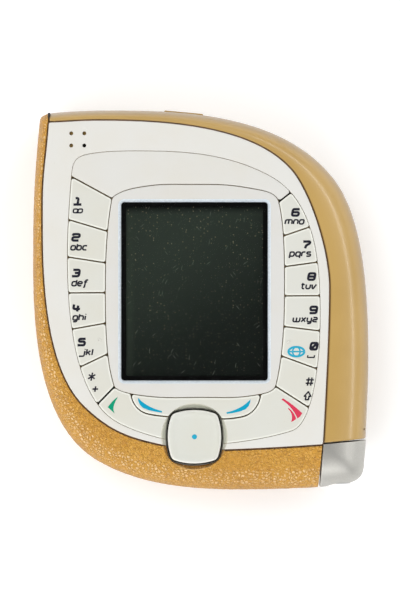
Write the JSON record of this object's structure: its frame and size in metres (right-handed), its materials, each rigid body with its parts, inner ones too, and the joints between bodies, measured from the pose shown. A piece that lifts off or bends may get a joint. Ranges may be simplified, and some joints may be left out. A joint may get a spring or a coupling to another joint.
{
  "type": "leaf-shaped mobile phone handset",
  "caption": "Leaf-shaped camera handset: portrait display ringed by number keys, square navigation key, tan wrap covers, silver corner.",
  "frame": {"origin": "centre of the back face that the handset rests on", "axes": "+Z out of the display, +Y towards the earpiece end, +X to the viewer's right"},
  "size_m": [0.0774, 0.0875, 0.0186],
  "materials": {
    "white_plastic": "semi-gloss off-white",
    "trim_plastic": "semi-gloss off-white",
    "surround_plastic": "semi-gloss warm white",
    "clear_window": "clear scratched acrylic",
    "gasket_rubber": "matte",
    "display_glass": "dark switched-off display",
    "stamped_steel": "satin",
    "leather_cover": "grained tan leather finish",
    "sand_paint": "satin sand paint on plastic",
    "silver_paint": "satin silver paint",
    "back_plastic": "matte light grey",
    "dark_plastic": "matte",
    "battery_label": "matte label over a metal can",
    "gold_contacts": "gold plated",
    "card_plastic": "smooth",
    "lens_glass": "coated",
    "circuit_board": "solder mask",
    "silicone_mat": "translucent grey silicone",
    "dome_steel": "bright",
    "key_plastic": "semi-gloss off-white",
    "magnesium": "as cast",
    "tungsten_weight": "sintered",
    "microphone_can": "satin",
    "socket_metal": "plated",
    "screw_steel": "plated"
  },
  "bodies": {
    "handset": {"mid_frame": "magnesium", "front_cover": "white_plastic", "top_trim": "trim_plastic", "display_surround": "surround_plastic", "display_window": "clear_window", "display_gasket": "gasket_rubber", "display_module": "display_glass", "display_frame": "stamped_steel", "corner_cap": "silver_paint", "rear_housing": "back_plastic", "battery": "battery_label", "battery_contacts": "gold_contacts", "sim_holder": "stamped_steel", "sim_card": "card_plastic", "camera_ring": "silver_paint", "camera_lens": "lens_glass", "camera_module": "dark_plastic", "main_board": "circuit_board", "shield_cans": "stamped_steel", "keymat": "silicone_mat", "keypad_board": "circuit_board", "key_domes": "dome_steel", "nav_bracket": "dark_plastic", "nav_collar": "silver_paint", "ear_speaker": "stamped_steel", "ear_mesh": "gold_contacts", "loudspeaker": "dark_plastic", "vibrator_motor": "stamped_steel", "microphone": "microphone_can", "antenna": "gold_contacts", "system_connector": "dark_plastic", "charger_socket": "socket_metal", "housing_screws": "screw_steel"},
    "key_1": {"key_1": "key_plastic"},
    "key_2": {"key_2": "key_plastic"},
    "key_3": {"key_3": "key_plastic"},
    "key_4": {"key_4": "key_plastic"},
    "key_5": {"key_5": "key_plastic"},
    "key_star": {"key_star": "key_plastic"},
    "call_key": {"call_key": "key_plastic"},
    "key_6": {"key_6": "key_plastic"},
    "key_7": {"key_7": "key_plastic"},
    "key_8": {"key_8": "key_plastic"},
    "key_9": {"key_9": "key_plastic"},
    "key_0": {"key_0": "key_plastic"},
    "key_hash": {"key_hash": "key_plastic"},
    "end_key": {"end_key": "key_plastic"},
    "soft_key_bar": {"soft_key_bar": "key_plastic"},
    "nav_gimbal": {"nav_gimbal": "stamped_steel"},
    "nav_carrier": {"nav_carrier": "stamped_steel"},
    "nav_key": {"nav_key": "key_plastic"},
    "power_key": {"power_key": "silver_paint"},
    "battery_door": {"battery_door": "back_plastic"},
    "door_latch": {"door_latch": "dark_plastic"},
    "left_cover": {"left_cover": "leather_cover"},
    "right_cover": {"right_cover": "sand_paint"},
    "vibrator_weight": {"vibrator_weight": "tungsten_weight"}
  },
  "joints": [
    {"name": "key_1_press", "type": "slide", "parent": "handset", "child": "key_1", "axis": [0, 0, -1], "range_m": [0, 0.0005], "stiffness_N_per_m": 1500},
    {"name": "key_2_press", "type": "slide", "parent": "handset", "child": "key_2", "axis": [0, 0, -1], "range_m": [0, 0.0005], "stiffness_N_per_m": 1500},
    {"name": "key_3_press", "type": "slide", "parent": "handset", "child": "key_3", "axis": [0, 0, -1], "range_m": [0, 0.0005], "stiffness_N_per_m": 1500},
    {"name": "key_4_press", "type": "slide", "parent": "handset", "child": "key_4", "axis": [0, 0, -1], "range_m": [0, 0.0005], "stiffness_N_per_m": 1500},
    {"name": "key_5_press", "type": "slide", "parent": "handset", "child": "key_5", "axis": [0, 0, -1], "range_m": [0, 0.0005], "stiffness_N_per_m": 1500},
    {"name": "key_star_press", "type": "slide", "parent": "handset", "child": "key_star", "axis": [0, 0, -1], "range_m": [0, 0.0005], "stiffness_N_per_m": 1500},
    {"name": "call_key_press", "type": "slide", "parent": "handset", "child": "call_key", "axis": [0, 0, -1], "range_m": [0, 0.0005], "stiffness_N_per_m": 1500},
    {"name": "key_6_press", "type": "slide", "parent": "handset", "child": "key_6", "axis": [0, 0, -1], "range_m": [0, 0.0005], "stiffness_N_per_m": 1500},
    {"name": "key_7_press", "type": "slide", "parent": "handset", "child": "key_7", "axis": [0, 0, -1], "range_m": [0, 0.0005], "stiffness_N_per_m": 1500},
    {"name": "key_8_press", "type": "slide", "parent": "handset", "child": "key_8", "axis": [0, 0, -1], "range_m": [0, 0.0005], "stiffness_N_per_m": 1500},
    {"name": "key_9_press", "type": "slide", "parent": "handset", "child": "key_9", "axis": [0, 0, -1], "range_m": [0, 0.0005], "stiffness_N_per_m": 1500},
    {"name": "key_0_press", "type": "slide", "parent": "handset", "child": "key_0", "axis": [0, 0, -1], "range_m": [0, 0.0005], "stiffness_N_per_m": 1500},
    {"name": "key_hash_press", "type": "slide", "parent": "handset", "child": "key_hash", "axis": [0, 0, -1], "range_m": [0, 0.0005], "stiffness_N_per_m": 1500},
    {"name": "end_key_press", "type": "slide", "parent": "handset", "child": "end_key", "axis": [0, 0, -1], "range_m": [0, 0.0005], "stiffness_N_per_m": 1500},
    {"name": "soft_key_rock", "type": "hinge", "parent": "handset", "child": "soft_key_bar", "pos_m": [-0.0015, -0.0231, 0.015], "axis": [0, 1, 0], "range_deg": [-1.5, 1.5], "stiffness_Nm_per_rad": 0.05},
    {"name": "nav_tilt_up_down", "type": "hinge", "parent": "handset", "child": "nav_gimbal", "pos_m": [-0.0015, -0.0314, 0.01445], "axis": [1, 0, 0], "range_deg": [-2, 2], "stiffness_Nm_per_rad": 0.05},
    {"name": "nav_tilt_left_right", "type": "hinge", "parent": "nav_gimbal", "child": "nav_carrier", "pos_m": [-0.0015, -0.0314, 0.01445], "axis": [0, 1, 0], "range_deg": [-2, 2], "stiffness_Nm_per_rad": 0.05},
    {"name": "nav_press", "type": "slide", "parent": "nav_carrier", "child": "nav_key", "axis": [0, 0, -1], "range_m": [0, 0.0003], "stiffness_N_per_m": 1500},
    {"name": "power_press", "type": "slide", "parent": "right_cover", "child": "power_key", "axis": [-0.0906, -0.9959, 0], "range_m": [0, 0.0004], "stiffness_N_per_m": 1500},
    {"name": "door_slide", "type": "slide", "parent": "handset", "child": "battery_door", "axis": [0, -1, 0], "range_m": [0, 0.014]},
    {"name": "latch_press", "type": "slide", "parent": "handset", "child": "door_latch", "axis": [0, 0, 1], "range_m": [0, 0.0009], "stiffness_N_per_m": 800},
    {"name": "left_cover_pull", "type": "slide", "parent": "handset", "child": "left_cover", "axis": [-0.301, -0.9536, 0], "range_m": [0, 0.014]},
    {"name": "right_cover_pull", "type": "slide", "parent": "handset", "child": "right_cover", "axis": [0.7071, 0.7071, 0], "range_m": [0, 0.014]},
    {"name": "vibrator_spin", "type": "hinge", "parent": "handset", "child": "vibrator_weight", "pos_m": [-0.0306, 0.012, 0.0042], "axis": [0, 1, 0], "continuous": true}
  ]
}
